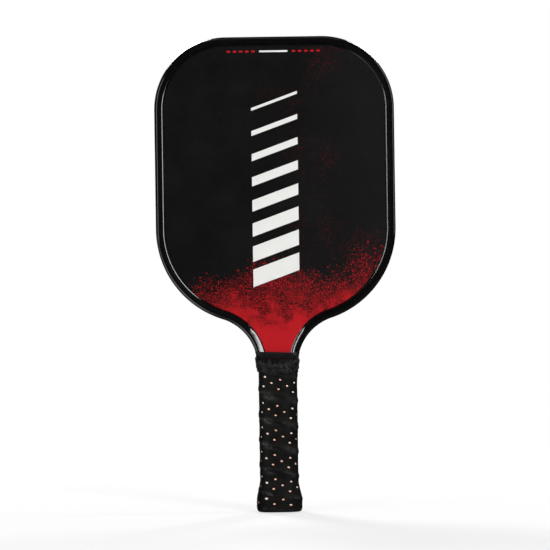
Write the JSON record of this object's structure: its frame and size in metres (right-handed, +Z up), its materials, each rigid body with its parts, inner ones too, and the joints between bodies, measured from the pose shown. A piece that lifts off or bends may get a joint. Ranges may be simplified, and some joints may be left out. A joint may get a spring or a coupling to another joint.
{
  "type": "pickleball paddle",
  "caption": "Pickleball paddle with a honeycomb sandwich panel, a glossy wrap-round edge guard and a spiral-wound perforated grip over a flared butt cap.",
  "frame": {"origin": "centre of the butt end face, where the long axis meets the flat end of the cap", "axes": "+Z up the handle to the top of the head, +X to the right seen from the front, the front striking face looks towards -Y"},
  "size_m": [0.203, 0.036, 0.402],
  "materials": {
    "core_polymer": "matte",
    "frame_polymer": "matte",
    "front_print": "matte",
    "rear_print": "matte",
    "guard_black": "gloss",
    "shell_grey": "matte",
    "cap_black": "satin",
    "cushion_orange": "matte",
    "tape_black": "satin",
    "finish_black": "satin"
  },
  "bodies": {
    "root": {"honeycomb_core": "core_polymer", "core_frame": "frame_polymer", "front_face": "front_print", "rear_face": "rear_print", "edge_guard": "guard_black", "front_handle_shell": "shell_grey", "rear_handle_shell": "shell_grey", "butt_cap": "cap_black", "grip_cushion": "cushion_orange", "grip_tape": "tape_black", "finishing_tape": "finish_black"}
  },
  "joints": []
}
